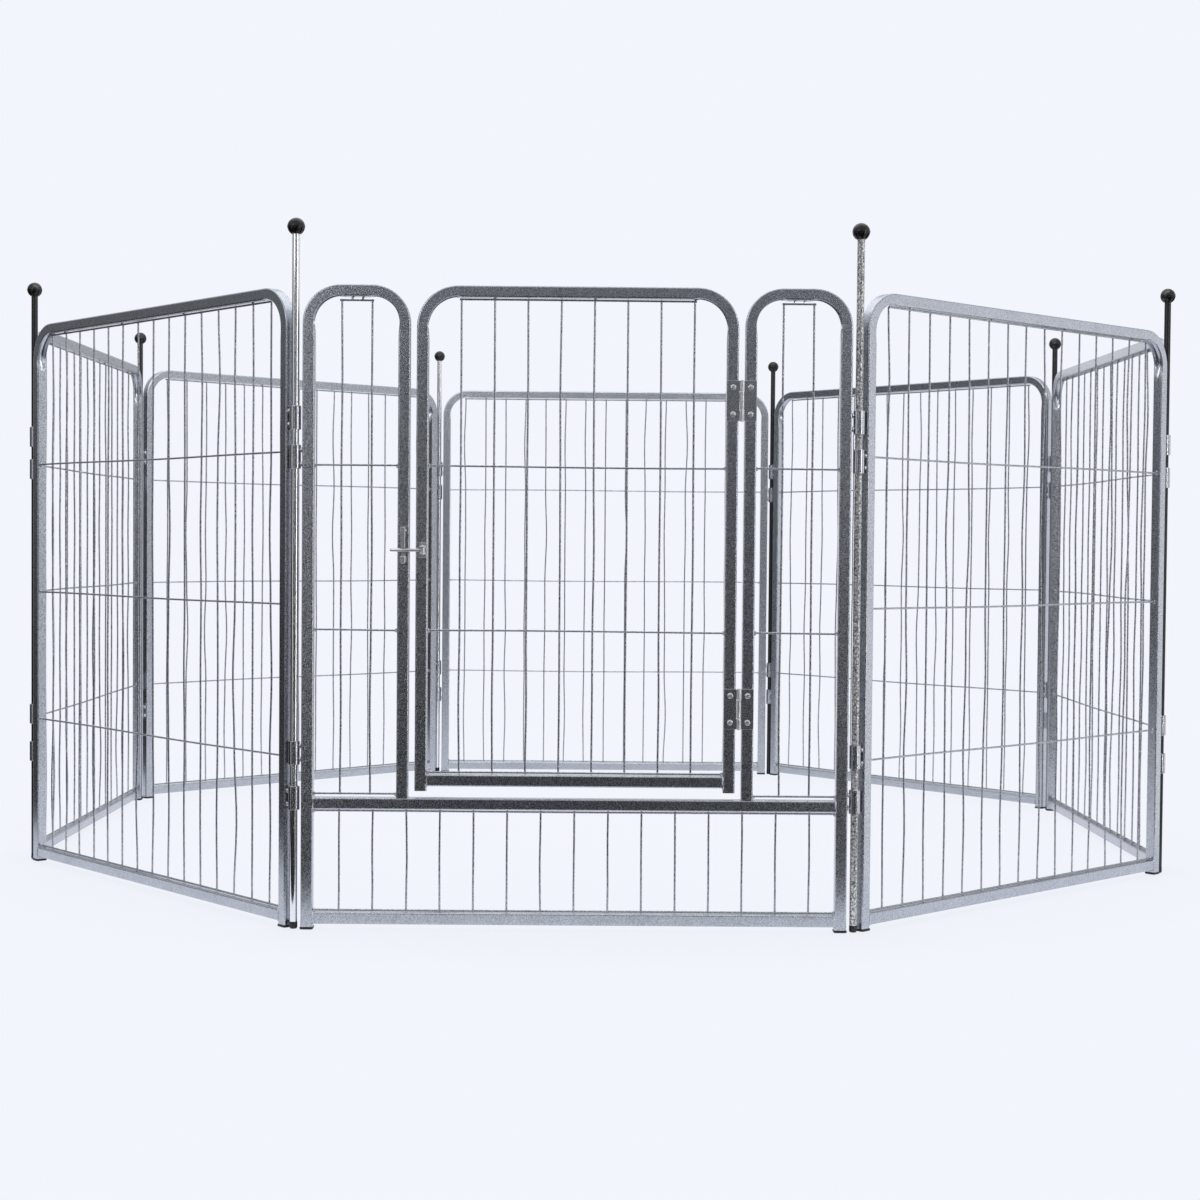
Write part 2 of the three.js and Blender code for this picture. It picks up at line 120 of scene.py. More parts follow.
class Shells:
    """Closed shells gathered for one mesh, in a panel's own millimetres."""

    def __init__(self):
        self.points = []
        self.faces = []

    def loft(self, rings, closed=False):
        """Joins rings of equal length into a shell, with flat ends unless it closes on itself."""
        start = len(self.points)
        size = len(rings[0])
        for ring in rings:
            self.points.extend(ring)
        pairs = len(rings) if closed else len(rings) - 1
        for i in range(pairs):
            a = start + i * size
            b = start + ((i + 1) % len(rings)) * size
            for j in range(size):
                k = (j + 1) % size
                self.faces.append((a + j, a + k, b + k, b + j))
        if not closed:
            self.faces.append(tuple(range(start, start + size)))
            last = start + (len(rings) - 1) * size
            self.faces.append(tuple(range(last + size - 1, last - 1, -1)))

    def turned(self, centre, axis, profile, sides=16):
        """Shell turned about an axis through centre; profile is (radius, distance along)."""
        self.loft([ring(centre, radius, axis, sides, along) for radius, along in profile])

    def blob(self, centre, size, sides=8):
        """Small rounded lump with the given half sizes."""
        steps = (0.2, 0.75, 1.0, 0.75, 0.2)
        heights = (-1.0, -0.66, 0.0, 0.66, 1.0)
        cx, cy, cz = centre
        sx, sy, sz = size
        turns = [2 * math.pi * j / sides for j in range(sides)]
        self.loft([[Vector((cx + sx * step * math.cos(t), cy + sy * step * math.sin(t),
                            cz + sz * height)) for t in turns]
                   for step, height in zip(steps, heights)])

    def plate(self, x, y, z, radius=1.0, edge=0.3):
        """Flat plate seen from -y, with rounded corners and an eased front edge."""
        def outline(inset, depth):
            corners = [(x[1], z[1], 0), (x[0], z[1], 90), (x[0], z[0], 180), (x[1], z[0], 270)]
            points = []
            for cx, cz, first in corners:
                r = radius - inset
                sx = -1 if cx == x[1] else 1
                sz = -1 if cz == z[1] else 1
                for step in range(CORNER_STEPS):
                    turn = math.radians(first + 90 / (CORNER_STEPS - 1) * step)
                    points.append(Vector((cx + sx * radius + r * math.cos(turn), depth,
                                          cz + sz * radius + r * math.sin(turn))))
            return points
        self.loft([outline(edge, y[1]), outline(0, y[1] - edge), outline(0, y[0] + edge),
                   outline(edge, y[0])])

    def mesh(self, name, place):
        bm = bmesh.new()
        verts = [bm.verts.new(place @ Vector(point)) for point in self.points]
        for face in self.faces:
            bm.faces.new([verts[i] for i in face])
        bmesh.ops.recalc_face_normals(bm, faces=bm.faces)
        data = bpy.data.meshes.new(name)
        bm.to_mesh(data)
        bm.free()
        data.polygons.foreach_set("use_smooth", [True] * len(data.polygons))
        data.set_sharp_from_angle(angle=math.radians(38))
        return data


def ring(centre, radius, axis, sides, along=0.0):
    """Ring of points about centre, square to an axis, moved along it."""
    x, y, z = centre
    turns = [2 * math.pi * j / sides for j in range(sides)]
    if axis == "x":
        return [Vector((x + along, y + radius * math.cos(t), z + radius * math.sin(t)))
                for t in turns]
    if axis == "y":
        return [Vector((x + radius * math.cos(t), y + along, z + radius * math.sin(t)))
                for t in turns]
    return [Vector((x + radius * math.cos(t), y + radius * math.sin(t), z + along))
            for t in turns]


def piece(shells, name, place, body, slot, material, *nodes):
    """Makes the mesh, lets it ride on its body and stand for its CAD nodes."""
    obj = bpy.data.objects.new(name, shells.mesh(name, place))
    bpy.context.scene.collection.objects.link(obj)
    obj.data.materials.append(material)
    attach(obj, body)
    if nodes:
        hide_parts(*nodes)
    return obj


# ---------------------------------------------------------------- square tube

def smooth(value):
    """Smooth step from 0 to 1."""
    value = min(max(value, 0.0), 1.0)
    return value * value * (3 - 2 * value)


def quarter_turned(u, y, degrees):
    """A point turned about the tube's axis by 0, 90, 180 or 270 degrees."""
    return {0: (u, y), 90: (-y, u), 180: (-u, -y), 270: (y, -u)}[degrees]


def tube_section():
    """Outline of the tube as (outward, y), with the inward face divided for the dent and a
    point beside each rounded edge, so that the faces shade flat."""
    points = []
    inner = HALF - TUBE_CORNER
    beside = inner - FLAT_EDGE
    for cu, cy, first in ((inner, inner, 0), (-inner, inner, 90),
                          (-inner, -inner, 180), (inner, -inner, 270)):
        points.append(quarter_turned(HALF, beside, first))
        for step in range(CORNER_STEPS):
            turn = math.radians(first + 90 / (CORNER_STEPS - 1) * step)
            points.append((cu + TUBE_CORNER * math.cos(turn),
                           cy + TUBE_CORNER * math.sin(turn)))
        points.append(quarter_turned(beside, HALF, first))
        if first == 90:
            points.extend((-HALF, y) for y in DENT_ROWS)
    return points


SECTION = tube_section()


def bend_stations(bend):
    """Distances through a top bend, from the leg (negative) past the start of the rail."""
    arc = math.pi / 2 * (bend - HALF)
    leg = [-22.0, -17.0, -14.0, -11.0, -8.0, -5.0, -2.5]
    turn = [arc * i / 14 for i in range(15)]
    rail = [arc + step for step in (2.0, 4.0, 6.0, 9.0)]
    return arc, leg + turn + rail


def pressed(distance, arc):
    """How much of the full dent there is at a distance through the bend, from 0 to 1."""
    if distance < arc / 2:
        return smooth((distance + PRESS["leg"]) / (PRESS["leg"] + 4))
    return smooth((arc + PRESS["rail"] - distance) / (PRESS["rail"] + 3))


def arch(shells, left, right, bend, left_foot, right_foot, top):
    """Inverted U of square tube with the inner faces of its two bends pressed in."""
    arc, stations = bend_stations(bend)
    middle = bend - HALF
    rings = []

    def section(centre, outward, amount):
        width = PRESS["half_width"] * math.sqrt(amount) if amount > 0 else 1.0
        points = []
        for u, y in SECTION:
            if u < -HALF + TUBE_CORNER:
                u += PRESS["narrow"] * amount
                across = abs(y) / width
                if across < 1:
                    u += PRESS["dent"] * amount * (1 - across ** 3)
            points.append(Vector((centre[0] + u * outward[0], y, centre[1] + u * outward[1])))
        return points

    def turn_point(side, distance):
        """Centre and outward direction for a distance through the bend on one side."""
        x0 = left + bend if side < 0 else right - bend
        if distance <= 0:
            return (x0 + side * middle, top - bend + distance), (side, 0)
        if distance >= arc:
            return (x0 - side * (distance - arc), top - HALF), (0, 1)
        turn = distance / middle
        outward = (side * math.cos(turn), math.sin(turn))
        return (x0 + middle * outward[0], top - bend + middle * outward[1]), outward

    rings.append(section((left + HALF, left_foot), (-1, 0), 0))
    for distance in stations:
        rings.append(section(*turn_point(-1, distance), pressed(distance, arc)))
    for distance in reversed(stations):
        rings.append(section(*turn_point(1, distance), pressed(distance, arc)))
    rings.append(section((right - HALF, right_foot), (1, 0), 0))
    shells.loft(rings)


def rail(shells, left, right, base, rng):
    """Level tube butted between two posts, with a weld bead round each end."""
    middle = base + HALF
    shells.loft([[Vector((x, y, middle + u)) for u, y in SECTION] for x in (left, right)])
    for x in (left, right):
        bead = []
        for u, y in SECTION:
            away = Vector((0, y, u)).normalized()
            size = rng.uniform(1.0, 1.7)
            centre = Vector((x, y, middle + u)) - away * 0.5
            towards = Vector((1 if x == left else -1, 0, 0))
            bead.append([centre + size * (away * math.cos(t) + towards * math.sin(t))
                         for t in (math.pi * k / 3 for k in range(6))])
        shells.loft(bead, closed=True)


# ---------------------------------------------------------------- wire grilles

def spread(count, start, end):
    """Evenly spaced numbers from start to end."""
    return [start + i * (end - start) / (count - 1) for i in range(count)]


def bowed(rng, sway, knots):
    """Smooth sideways sway of a hand-bent wire along its length, zero where it is welded."""
    pulls = [rng.gauss(0, sway) for _ in range(len(knots) - 1)]
    lean = rng.gauss(0, sway * 0.35)
    second = rng.gauss(0, sway * 0.3)

    def at(z):
        share = (z - knots[0]) / (knots[-1] - knots[0])
        offset = lean * (1 - share) + second * math.sin(2.2 * math.pi * share)
        for (low, high), pull in zip(zip(knots, knots[1:]), pulls):
            if low <= z <= high:
                offset += pull * math.sin(math.pi * (z - low) / (high - low)) ** 2
        return offset
    return at


def upright_wire(shells, x, base, top, rng, sway, knots):
    """Swaying upright wire; returns how far it is off its place at a height."""
    at = bowed(rng, sway, knots)
    depth = bowed(rng, sway * 0.3, knots)
    count = max(4, int((top - base) / 22))
    overrun = rng.uniform(0.2, 1.6)
    levels = [base - overrun] + spread(count, base, top) + [top + rng.uniform(0.1, 0.9)]
    shells.loft([ring((x + at(z), UPRIGHT_Y + depth(z), z), WIRE / 2, "z", 10)
                 for z in levels])
    return at


def level_wire(shells, left, right, z, rng, sag):
    """Level wire with a slight wave; returns its height at a place along it."""
    stations = spread(max(6, int((right - left) / 30)), left, right)
    phase = rng.uniform(0, math.pi)

    def height(x):
        return z + sag * math.sin(phase + (x - left) / 90)
    shells.loft([ring((x, LEVEL_WIRE_Y, height(x)), WIRE / 2, "x", 10) for x in stations])
    return height


def grille(shells, dots, left, right, heights, wires, margin, rng, sway, arched=True):
    """Uprights and level wires between two posts, with the weld nuggets where they cross.
    The end welds on the posts and the tacks to the rails go in dots, which carry the same paint as
    the frame but a lighter colour, a painted highlight."""
    places = spread(wires, left + margin, right - margin)
    base, top = heights[0], heights[-1]
    levels = []
    for z in heights:
        stops_short = arched and z == top
        start = places[0] - WIRE / 2 - 1 if stops_short else left - 0.4
        end = places[-1] + WIRE / 2 + 1 if stops_short else right + 0.4
        edge = z in (base, top)
        levels.append(level_wire(shells, start, end, z, rng, 0.15 if edge else 0.6))
        if not stops_short:
            for x, inward in ((left, 1), (right, -1)):
                for lift in (-1.4, 1.3):
                    y = LEVEL_WIRE_Y - rng.uniform(0.2, 0.9)
                    dots.blob((x + inward * 0.9, y, z + lift),
                              (rng.uniform(1.5, 2.3), rng.uniform(1.2, 1.6),
                               rng.uniform(1.2, 1.8)))
    for x in places:
        at = upright_wire(shells, x, base, top, rng, sway, heights)
        for level, z in zip(levels, heights):
            shells.blob((x + at(z), (LEVEL_WIRE_Y + UPRIGHT_Y) / 2, level(x)),
                        (1.75, 1.5, 1.7), 6)
    return places


def tacks(shells, dots, places, z_wire, z_rail, rng, every=4):
    """Short leaning tacks that join an edge wire to the rail beside it."""
    low, high = min(z_wire, z_rail), max(z_wire, z_rail)
    chosen = places if len(places) <= 2 else places[1::every]
    for x in chosen:
        shift = rng.uniform(-3, 3) if len(places) > 2 else 0
        lean = rng.uniform(0.6, 2.2)
        inward = 0
        if len(places) == 2:
            inward = (0.33 if x == places[0] else -0.33) * (places[1] - places[0])
        steps = [(low - 0.8, 1.3), (low, 1.9), ((low + high) / 2, 1.35), (high, 1.8),
                 (high + 0.9, 1.2)]
        shells.loft([ring((x + inward + shift + lean * (z - low) / (high - low), -0.6, z),
                          radius, "z", 8) for z, radius in steps])
        dots.blob((x + inward + shift + 3.0, -1.1, high + 0.2), (1.5, 1.2, 0.8), 6)


# ---------------------------------------------------------------- sleeves, feet, rods, knobs

def sleeve(shells, x, base, towards):
    """Strip rolled round the rod, with its slit turned to the post it is welded to."""
    outer = SLEEVE["outside"] / 2
    inner = outer - SLEEVE["wall"]
    half_slit = SLEEVE["slit"] / 2 / outer
    start = (0 if towards > 0 else math.pi) + half_slit + 0.5
    turns = spread(33, start, start + 2 * math.pi - 2 * half_slit)
    edge = SLEEVE["edge"]
    outline = []
    for height, grow in ((0, -edge), (edge, 0), (SLEEVE["height"] - edge, 0),
                         (SLEEVE["height"], -edge)):
        outline.append((outer + grow, height))
    outline += [(inner, SLEEVE["height"]), (inner, 0)]
    shells.loft([[Vector((x + radius * math.cos(t), radius * math.sin(t), base + height))
                  for radius, height in outline] for t in turns])


def rod_axes(left, right):
    """Where a panel's rods stand beside its posts, and which way each post lies from its rod."""
    return (("left", 1, left - ROD_OFFSET), ("right", -1, right + ROD_OFFSET))


def panel_sleeves(name, place, left, right, look):
    sleeves = Shells()
    for side, towards, x in rod_axes(left, right):
        for base in SLEEVE_BASES[side]:
            sleeve(sleeves, x, base, towards)
    piece(sleeves, f"{name}_sleeves", place, name, "frame_paint", look["sleeve"])


def sleeve_welds(dots, x, base, towards, rng):
    """Two lumps of weld on each side between a sleeve and its post."""
    for height in (SLEEVE_WELD["inset"], SLEEVE["height"] - SLEEVE_WELD["inset"]):
        for side in (-1, 1):
            dots.blob((x + towards * SLEEVE_WELD["out"], side * SLEEVE_WELD["side"],
                       base + height + rng.uniform(-1, 1)), (1.7, 1.6, rng.uniform(2.4, 3.4)))


def foot_cap(shells, low, high):
    """Flange of a plug that closes a post, with eased edges; only the flange shows."""
    x = (low.x + high.x) / 2
    reach = (high.x - low.x) / 2

    def outline(grow, z):
        corner = 2.6
        size = reach + grow
        points = []
        for sx, sy, first in ((1, 1, 0), (-1, 1, 90), (-1, -1, 180), (1, -1, 270)):
            for step in range(CORNER_STEPS):
                turn = math.radians(first + 90 / (CORNER_STEPS - 1) * step)
                points.append(Vector((x + sx * (size - corner) + corner * math.cos(turn),
                                      sy * (size - corner) + corner * math.sin(turn), z)))
        return points
    top = FOOT_FLANGE
    shells.loft([outline(-1.0, 0), outline(-0.3, 0.3), outline(0, 1.0), outline(0, top - 0.7),
                 outline(-0.25, top - 0.2), outline(-0.9, top), outline(-1.3, top + 0.3)])


# mouth is the latitude of the knob's flat underside, in degrees below the middle
KNOB = {"radius": 11.0, "neck": 5.7, "mouth": 59, "notches": 8, "notch": 1.5, "seam": 0.4}
SILVER_RODS = ("front_left", "front_right", "back_left")


def knob_shell(shells, centre):
    """Moulded ball: a parting line round the middle, notches cut in its lower half, a flat
    mouth for the rod, and a second parting line over the top."""
    sides = 64
    radius = KNOB["radius"]

    def around(degrees, grow=0.0):
        """Ring at a latitude, swollen by grow; the notches fade out towards both ends."""
        points = []
        latitude = math.radians(degrees)
        low = smooth((-degrees - 6) / 6) * smooth((56 + degrees) / 8)
        for j in range(sides):
            turn = 2 * math.pi * j / sides
            wave = math.cos(KNOB["notches"] * turn)
            cut = KNOB["notch"] * low * smooth((wave - 0.1) / 0.5)
            line = 0.25 * math.exp(-(math.sin(turn) / 0.09) ** 2) if latitude > 0 else 0
            size = radius + grow - cut + line
            points.append(Vector((size * math.cos(latitude) * math.cos(turn),
                                  size * math.cos(latitude) * math.sin(turn),
                                  centre + size * math.sin(latitude))))
        return points

    mouth = centre - radius * math.sin(math.radians(KNOB["mouth"]))
    rings = [ring((0, 0, mouth + 0.4), KNOB["neck"] - 0.8, "z", sides),
             ring((0, 0, mouth), KNOB["neck"] - 0.3, "z", sides)]
    rings += [around(degrees) for degrees in (-56, -50, -44, -36, -28, -20, -13, -8, -4.5)]
    rings += [around(degrees, grow) for degrees, grow in
              ((-2.4, 0.05), (-1.6, KNOB["seam"]), (1.6, KNOB["seam"]), (2.4, 0.05))]
    rings += [around(degrees) for degrees in (8, 16, 26, 36, 46, 56, 66, 76, 84, 88)]
    shells.loft(rings)


def rod_pieces(index, look):
    corner = CORNERS[index]
    body = f"rod_{corner}"
    place = Matrix.Translation(corner_place(corner)) @ Matrix.Scale(MM, 4)
    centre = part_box(f"knob_{corner}")[1].z / MM - KNOB["radius"]
    radius = ROD / 2
    kind = "rod_silver" if corner in SILVER_RODS else "rod_black"
    shaft = Shells()
    shaft.turned((0, 0, 0), "z", [(radius - 0.5, 8.6), (radius, 9.2), (radius, 300),
                                  (radius, 600), (radius, centre - 6)], 32)
    piece(shaft, f"{body}_shaft", place, body, kind,
          look["speckled_rod"] if corner == "front_right" else look[kind], body)
    tip = Shells()
    tip.turned((0, 0, 0), "z", [(2.4, 0), (4.1, 0.25), (4.75, 1.1), (5.0, 2.2), (5.0, 8.2),
                                (4.7, 8.9), (4.2, 9.1)], 32)
    piece(tip, f"{body}_tip", place, body, "knob_plastic", look["plastic"])
    head = Shells()
    knob_shell(head, centre)
    piece(head, f"{body}_knob", place, body, "knob_plastic", look["plastic"], f"knob_{corner}")


# ---------------------------------------------------------------- panels

def plain_panel(index, look):
    name = PANELS[index]
    place = panel_place(index)
    rng = random.Random(100 + index)
    low, high = local_box(f"{name}_frame", place)
    wires_low, wires_high = local_box(f"{name}_grille", place)
    left_foot = local_box(f"{name}_foot_left", place)
    right_foot = local_box(f"{name}_foot_right", place)
    left = (left_foot[0].x + left_foot[1].x) / 2 - HALF
    right = (right_foot[0].x + right_foot[1].x) / 2 + HALF

    tubes = Shells()
    arch(tubes, left, right, PANEL["bend"], low.z, low.z, high.z)
    rail(tubes, left + TUBE, right - TUBE, BOTTOM_RAIL, rng)
    piece(tubes, f"{name}_tubes", place, name, "frame_paint", look["paint"], f"{name}_frame")
    panel_sleeves(name, place, left, right, look)

    wires, dots = Shells(), Shells()
    base, top = wires_low.z + WIRE / 2, wires_high.z - WIRE / 2
    places = grille(wires, dots, left + TUBE, right - TUBE, spread(PANEL["rows"], base, top),
                    PANEL["wires"], PANEL["margin"], rng, SWAY[name])
    tacks(wires, dots, places, top, high.z - TUBE, rng)
    for side, towards, x in rod_axes(left, right):
        for sleeve_base in SLEEVE_BASES[side]:
            sleeve_welds(dots, x, sleeve_base, towards, rng)
    piece(wires, f"{name}_wires", place, name, "wire_paint", look["wire"], f"{name}_grille")
    piece(dots, f"{name}_welds", place, name, "wire_paint", look["weld"])

    for side, box in (("left", left_foot), ("right", right_foot)):
        cap = Shells()
        foot_cap(cap, *box)
        piece(cap, f"{name}_foot_cap_{side}", place, name, "foot_plastic", look["plastic"],
              f"{name}_foot_{side}")


def gate_panel(look):
    place = panel_place(0)
    rng = random.Random(7)
    low, high = local_box("gate_frame", place)
    left_foot = local_box("gate_foot_left", place)
    right_foot = local_box("gate_foot_right", place)
    left = (left_foot[0].x + left_foot[1].x) / 2 - HALF
    right = (right_foot[0].x + right_foot[1].x) / 2 + HALF
    mid_top = MID_RAIL + TUBE

    tubes = Shells()
    arch(tubes, left, left + LOOP["width"], LOOP["bend"], low.z, mid_top - 0.3, high.z)
    arch(tubes, right - LOOP["width"], right, LOOP["bend"], mid_top - 0.3, low.z, high.z)
    rail(tubes, left + TUBE, right - TUBE, BOTTOM_RAIL, rng)
    rail(tubes, left + TUBE, right - TUBE, MID_RAIL, rng)
    piece(tubes, "gate_tubes", place, "gate", "frame_paint", look["paint"], "gate_frame")
    panel_sleeves("gate", place, left, right, look)

    dots = Shells()
    sway = SWAY["gate"]
    for side, start in (("left", left), ("right", right - LOOP["width"])):
        wires = Shells()
        box_low, box_high = local_box(f"gate_grille_{side}", place)
        base, top = box_low.z + WIRE / 2, box_high.z - WIRE / 2
        levels = spread(GATE_ROWS, base, top)
        places = grille(wires, dots, start + TUBE, start + LOOP["width"] - TUBE, levels,
                        LOOP["wires"], LOOP["margin"], rng, sway)
        tacks(wires, dots, places, top, high.z - TUBE, rng)
        piece(wires, f"gate_wires_{side}", place, "gate", "wire_paint", look["wire"],
              f"gate_grille_{side}")
    wires = Shells()
    box_low, box_high = local_box("gate_grille_lower", place)
    grille(wires, dots, left + TUBE, right - TUBE,
           [box_low.z + WIRE / 2, box_high.z - WIRE / 2], PANEL["wires"], PANEL["margin"], rng,
           sway, arched=False)
    piece(wires, "gate_wires_lower", place, "gate", "wire_paint", look["wire"],
          "gate_grille_lower")
    for side, towards, x in rod_axes(left, right):
        for sleeve_base in SLEEVE_BASES[side]:
            sleeve_welds(dots, x, sleeve_base, towards, rng)
    piece(dots, "gate_welds", place, "gate", "wire_paint", look["weld"])

    for side, box in (("left", left_foot), ("right", right_foot)):
        cap = Shells()
        foot_cap(cap, *box)
        piece(cap, f"gate_foot_cap_{side}", place, "gate", "foot_plastic", look["plastic"],
              f"gate_foot_{side}")

    door(place, levels, rng, look)
    hinges(place, look)
    latch(place, look)


def door(place, levels, rng, look):
    """The door; levels are the heights of the level wires beside it, which its own match."""
    low, high = local_box("door_frame", place)
    wires_low, wires_high = local_box("door_grille", place)
    base, top = wires_low.z + WIRE / 2, wires_high.z - WIRE / 2
    rail_base = base - EDGE_WIRE - TUBE
    tubes = Shells()
    arch(tubes, low.x, high.x, DOOR["bend"], low.z, low.z, high.z)
    rail(tubes, low.x + TUBE, high.x - TUBE, rail_base, rng)
    piece(tubes, "door_tubes", place, "door", "frame_paint", look["paint"], "door_frame")
    wires, dots = Shells(), Shells()
    places = grille(wires, dots, low.x + TUBE, high.x - TUBE, [base, *levels[1:-1], top],
                    DOOR["wires"], DOOR["margin"], rng, SWAY["gate"])
    tacks(wires, dots, places, top, high.z - TUBE, rng, every=3)
    piece(wires, "door_wires", place, "door", "wire_paint", look["wire"], "door_grille")
    piece(dots, "door_welds", place, "door", "wire_paint", look["weld"])


# ---------------------------------------------------------------- hinges

LEAF = {"thickness": 1.5, "knuckle": 13.5, "air": 0.2}
BARREL = 5.5                # outside of the knuckles
SCREW = {"radius": 3.7, "height": 1.3, "inset": 8.6}


def knuckle(shells, x, y, base, top):
    radius = BARREL / 2
    shells.turned((x, y, 0), "z", [(radius - 0.45, base + 0.1), (radius, base + 0.6),
                                   (radius, top - 0.6), (radius - 0.45, top - 0.1)], 20)


def screw(shells, x, face, z):
    """Round head with a small recess in the middle."""
    radius, height = SCREW["radius"], SCREW["height"]
    profile = [(radius, 0.5), (radius, -0.15), (radius * 0.93, -height * 0.55),
               (radius * 0.72, -height * 0.88), (radius * 0.4, -height),
               (0.95, -height), (0.75, -height + 0.5), (0.3, -height + 0.5)]
    shells.turned((x, face, z), "y", profile, 24)


def hinges(place, look):
    """Both hinges: the post's leaf has the middle knuckle, the door's leaf the outer two."""
    for level in ("lower", "upper"):
        post_low, post_high = local_box(f"hinge_{level}_post_leaf", place)
        door_low, door_high = local_box(f"hinge_{level}_door_leaf", place)
        base, top = post_low.z, post_high.z
        x = (post_low.x + door_high.x) / 2
        y = face = (post_low.y + post_high.y) / 2
        back = face + LEAF["thickness"]
        middle = (base + LEAF["knuckle"], top - LEAF["knuckle"])
        for body, side, far, stretches in (
                ("gate", 1, post_high.x, [middle]),
                ("door", -1, door_low.x, [(base, middle[0]), (middle[1], top)])):
            leaf = Shells()
            near = x + side * (BARREL / 2 + 0.3)
            span = sorted((near, far))
            leaf.plate(span, (face, back), (base, top), 1.2, 0.35)
            name = f"hinge_{level}_{'post' if side > 0 else 'door'}"
            node = f"{name}_leaf"
            piece(leaf, f"{name}_plate", place, body, "frame_paint", look["paint"])
            metal = Shells()
            air = LEAF["air"] if side > 0 else 0
            for start, end in stretches:
                knuckle(metal, x, y, start + air, end - air)
                wrap = sorted((x + side * 1.2, near + side * 0.6))
                metal.plate(wrap, (face + 0.1, back - 0.1), (start + 0.4, end - 0.4), 0.5, 0.15)
            if side < 0:
                for end, out in ((base, -1), (top, 1)):
                    metal.turned((x, y, end), "z", [(1.9, -0.3 * out), (1.9, 0.35 * out),
                                                    (1.3, 0.75 * out)], 16)
            screw_x = (span[0] + span[1]) / 2 + side * 0.2
            for z in (base + SCREW["inset"], top - SCREW["inset"]):
                screw(metal, screw_x, face, z)
            piece(metal, f"{name}_knuckles", place, body, "zinc_hardware", look["zinc"], node)


# ---------------------------------------------------------------- latch

# arm is a radius, eye the width of the arm's end, the other two are from the arm's middle
LATCH = {"arm": 2.1, "eye": 6.2, "notch_below": 7.6, "notch_above": 2.8, "lug_gap": 2.9}


def latch(place, look):
    """Notched keeper on the gate post, two-lugged bracket on the door post, and the arm."""
    keeper_low, keeper_high = local_box("latch_keeper", place)
    arm_low, arm_high = local_box("latch_arm", place)
    bracket_low, bracket_high = local_box("latch_bracket", place)
    height = (arm_low.z + arm_high.z) / 2
    eye = LATCH["eye"] / 2
    pin_x = arm_high.x - eye
    pin_y = (arm_low.y + arm_high.y) / 2

    # upright bar with a notch for the arm: two blocks joined by the web behind the notch
    bar = Shells()
    notch = (height - LATCH["notch_below"], height + LATCH["notch_above"])
    x = (keeper_low.x, keeper_high.x)
    y = (keeper_low.y, keeper_high.y)
    web = pin_y + LATCH["arm"] + 0.3
    bar.plate(x, y, (keeper_low.z, notch[0]), 0.9, 0.5)
    bar.plate(x, y, (notch[1], keeper_high.z), 0.9, 0.5)
    bar.plate((x[0] + 0.2, x[1] - 0.2), (web, y[1]), (notch[0] - 2, notch[1] + 2), 0.5, 0.2)
    for z in (keeper_low.z + 4, notch[0] - 2, keeper_high.z - 5):
        for side in (0, 1):
            bar.blob((x[side], y[1] - 0.4, z), (1.7, 1.3, 2.0))
    piece(bar, "latch_keeper_bar", place, "gate", "zinc_hardware", look["zinc"], "latch_keeper")

    lugs = Shells()
    span = (bracket_low.x, bracket_high.x)
    back = bracket_high.y
    lugs.plate(span, (back - 0.9, back), (bracket_low.z, bracket_high.z), 1.0, 0.25)
    for z0 in (height + LATCH["lug_gap"], height - LATCH["lug_gap"] - 2.0):
        outline = []
        for z, grow in ((z0, -0.25), (z0 + 0.3, 0), (z0 + 1.7, 0), (z0 + 2.0, -0.25)):
            points = []
            half = (span[1] - span[0]) / 2 + grow
            for t in spread(11, math.pi, 2 * math.pi):
                points.append(Vector((pin_x + half * math.cos(t),
                                      pin_y + 0.9 * half * math.sin(t), z)))
            points.append(Vector((pin_x + half, back - 0.5, z)))
            points.append(Vector((pin_x - half, back - 0.5, z)))
            outline.append(points)
        lugs.loft(outline)
    lugs.turned((pin_x, pin_y, height), "z", [(1.3, -6.2), (1.3, 6.2)], 14)
    for out in (-1, 1):
        lugs.turned((pin_x, pin_y, height + out * 4.9), "z",
                    [(2.1, -0.1 * out), (2.1, 0.5 * out), (1.5, 1.1 * out)], 16)
    piece(lugs, "latch_bracket_lugs", place, "door", "zinc_hardware", look["zinc"],
          "latch_bracket")

    arm = Shells()
    radius = LATCH["arm"]
    end = arm_low.x
    start = pin_x - 1.6
    arm.loft([ring((x, pin_y, height), r, "x", 18)
              for x, r in ((end, radius - 1.1), (end + 0.35, radius - 0.4), (end + 1.0, radius),
                           (end + 20, radius), (start - 8, radius), (start, radius))])
    arm.loft([ring((pin_x, pin_y, height), eye - inset, "z", 24, z)
              for z, inset in ((-2.6, 0.3), (-2.3, 0), (2.3, 0), (2.6, 0.3))])
    piece(arm, "latch_arm_bar", place, "latch", "zinc_hardware", look["zinc"], "latch_arm")


# ---------------------------------------------------------------- materials

